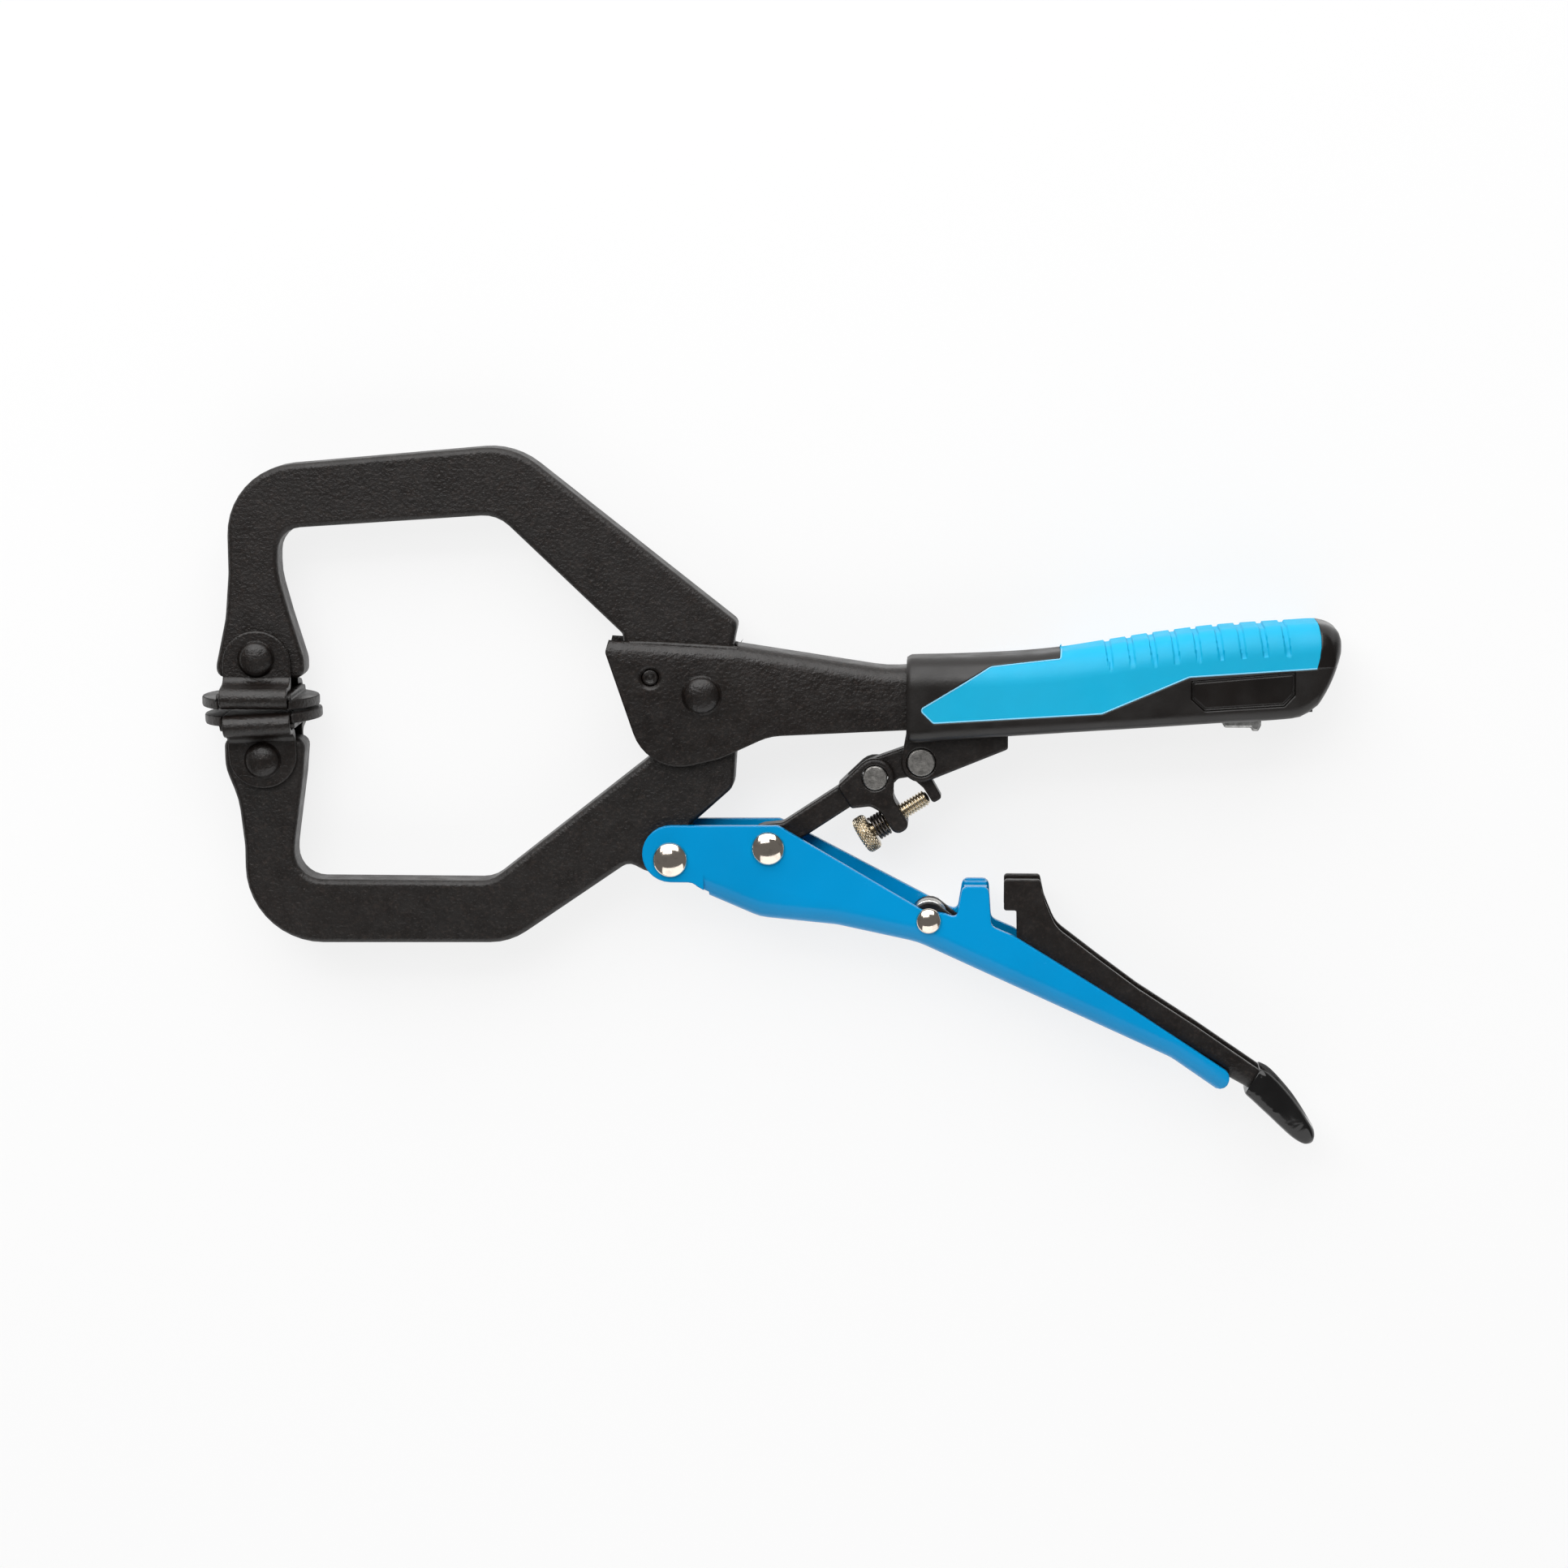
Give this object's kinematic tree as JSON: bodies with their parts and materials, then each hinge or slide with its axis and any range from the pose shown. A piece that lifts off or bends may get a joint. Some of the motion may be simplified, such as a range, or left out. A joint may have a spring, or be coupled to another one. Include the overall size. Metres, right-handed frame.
{
  "type": "locking pliers",
  "caption": "Self-adjusting locking C-clamp pliers with swivel pads, a soft-covered grip, a folded lower handle, a knurled adjusting screw and a release lever.",
  "frame": {"origin": "middle of the object's box in X and Y, on the plane that it lies on", "axes": "+X from the jaws to the ends of the handles, +Y from the lower handle to the upper one, +Z across the thickness"},
  "size_m": [0.279, 0.1724, 0.0254],
  "materials": {
    "black_coat": "satin black powder coat",
    "black_plastic": "fine-grained black plastic",
    "soft_blue": "smooth soft-touch light blue",
    "blue_paint": "gloss blue paint",
    "nickel": "polished warm nickel plate",
    "pin_steel": "plain ground steel",
    "dipped_vinyl": "glossy dipped vinyl",
    "spring_steel": "dark spring steel"
  },
  "bodies": {
    "frame": {"upper_jaw": "black_coat", "upper_channel": "black_coat", "main_rivet": "black_coat", "jaw_anchor_pin": "black_coat", "upper_pad_rivet": "black_coat", "grip_core": "black_plastic", "grip_cover": "soft_blue", "grip_end_cap": "black_plastic", "spring_anchor": "pin_steel", "opening_spring": "nickel"},
    "lower_jaw": {"lower_jaw": "black_coat", "lower_pad_rivet": "black_coat"},
    "upper_pad": {"upper_pad_disc": "black_coat", "upper_pad_bracket": "black_coat"},
    "lower_pad": {"lower_pad_disc": "black_coat", "lower_pad_bracket": "black_coat"},
    "cam": {"locking_cam": "black_coat", "cam_pin": "pin_steel"},
    "toggle_arm": {"toggle_arm": "black_coat", "fold_pin": "pin_steel"},
    "tension_link": {"tension_link": "black_coat"},
    "adjuster_spring": {"adjuster_spring": "spring_steel"},
    "adjusting_screw": {"adjusting_screw": "nickel"},
    "lower_handle": {"lower_handle": "blue_paint", "handle_rivet": "nickel", "toggle_rivet": "nickel", "lever_rivet": "nickel", "toggle_washer_near": "pin_steel", "toggle_washer_far": "pin_steel", "lever_spring": "spring_steel"},
    "release_lever": {"release_lever": "black_coat", "lever_tip": "dipped_vinyl"}
  },
  "joints": [
    {"name": "jaw_open", "type": "hinge", "parent": "frame", "child": "lower_jaw", "pos_m": [-0.01547, 0.02615, 0.01271], "axis": [0, 0, 1], "range_deg": [0, 34]},
    {"name": "upper_pad_swivel", "type": "hinge", "parent": "frame", "child": "upper_pad", "pos_m": [-0.12507, 0.03435, 0.01271], "axis": [0, 0, 1], "range_deg": [0, 17.5]},
    {"name": "lower_pad_swivel", "type": "hinge", "parent": "lower_jaw", "child": "lower_pad", "pos_m": [-0.12387, 0.00925, 0.01271], "axis": [0, 0, 1], "range_deg": [-17.5, 0]},
    {"name": "cam_slide", "type": "slide", "parent": "frame", "child": "cam", "axis": [0.9986, 0.0523, 0], "range_m": [0, 0.0245], "deforming": ["opening_spring"]},
    {"name": "link_swing", "type": "hinge", "parent": "cam", "child": "toggle_arm", "pos_m": [0.03812, 0.00955, 0.01271], "axis": [0, 0, 1], "range_deg": [-10, 0]},
    {"name": "squeeze", "type": "hinge", "parent": "toggle_arm", "child": "lower_handle", "pos_m": [0.00072, -0.01165, 0.01271], "axis": [0, 0, 1], "range_deg": [0, 27]},
    {"name": "link_fold", "type": "hinge", "parent": "toggle_arm", "child": "tension_link", "pos_m": [0.02683, 0.00565, 0.01271], "axis": [0, 0, 1], "range_deg": [-6.3, 6.3]},
    {"name": "adjuster_travel", "type": "slide", "parent": "toggle_arm", "child": "adjuster_spring", "axis": [0.8453, 0.5344, 0], "range_m": [-0.0012, 0.0012], "deforming": ["adjuster_spring"]},
    {"name": "adjuster_turn", "type": "hinge", "parent": "adjuster_spring", "child": "adjusting_screw", "pos_m": [0.03276, -0.00374, 0.01271], "axis": [0.8453, 0.5344, 0], "range_deg": [-560, 560]},
    {"name": "release", "type": "hinge", "parent": "lower_handle", "child": "release_lever", "pos_m": [0.04022, -0.02935, 0.01271], "axis": [0, 0, 1], "range_deg": [0, 10], "stiffness_Nm_per_rad": 0.3, "deforming": ["lever_spring"]}
  ],
  "couplings": [
    {"joint": "upper_pad_swivel", "follows": "jaw_open", "ratio": 0.5},
    {"joint": "lower_pad_swivel", "follows": "jaw_open", "ratio": -0.5},
    {"joint": "cam_slide", "follows": "jaw_open", "m_per_rad": 0.0409},
    {"joint": "link_swing", "follows": "squeeze", "ratio": -0.36},
    {"joint": "adjuster_turn", "follows": "adjuster_travel", "rad_per_m": 7854},
    {"joint": "link_fold", "follows": "adjuster_travel", "rad_per_m": 90.1}
  ]
}
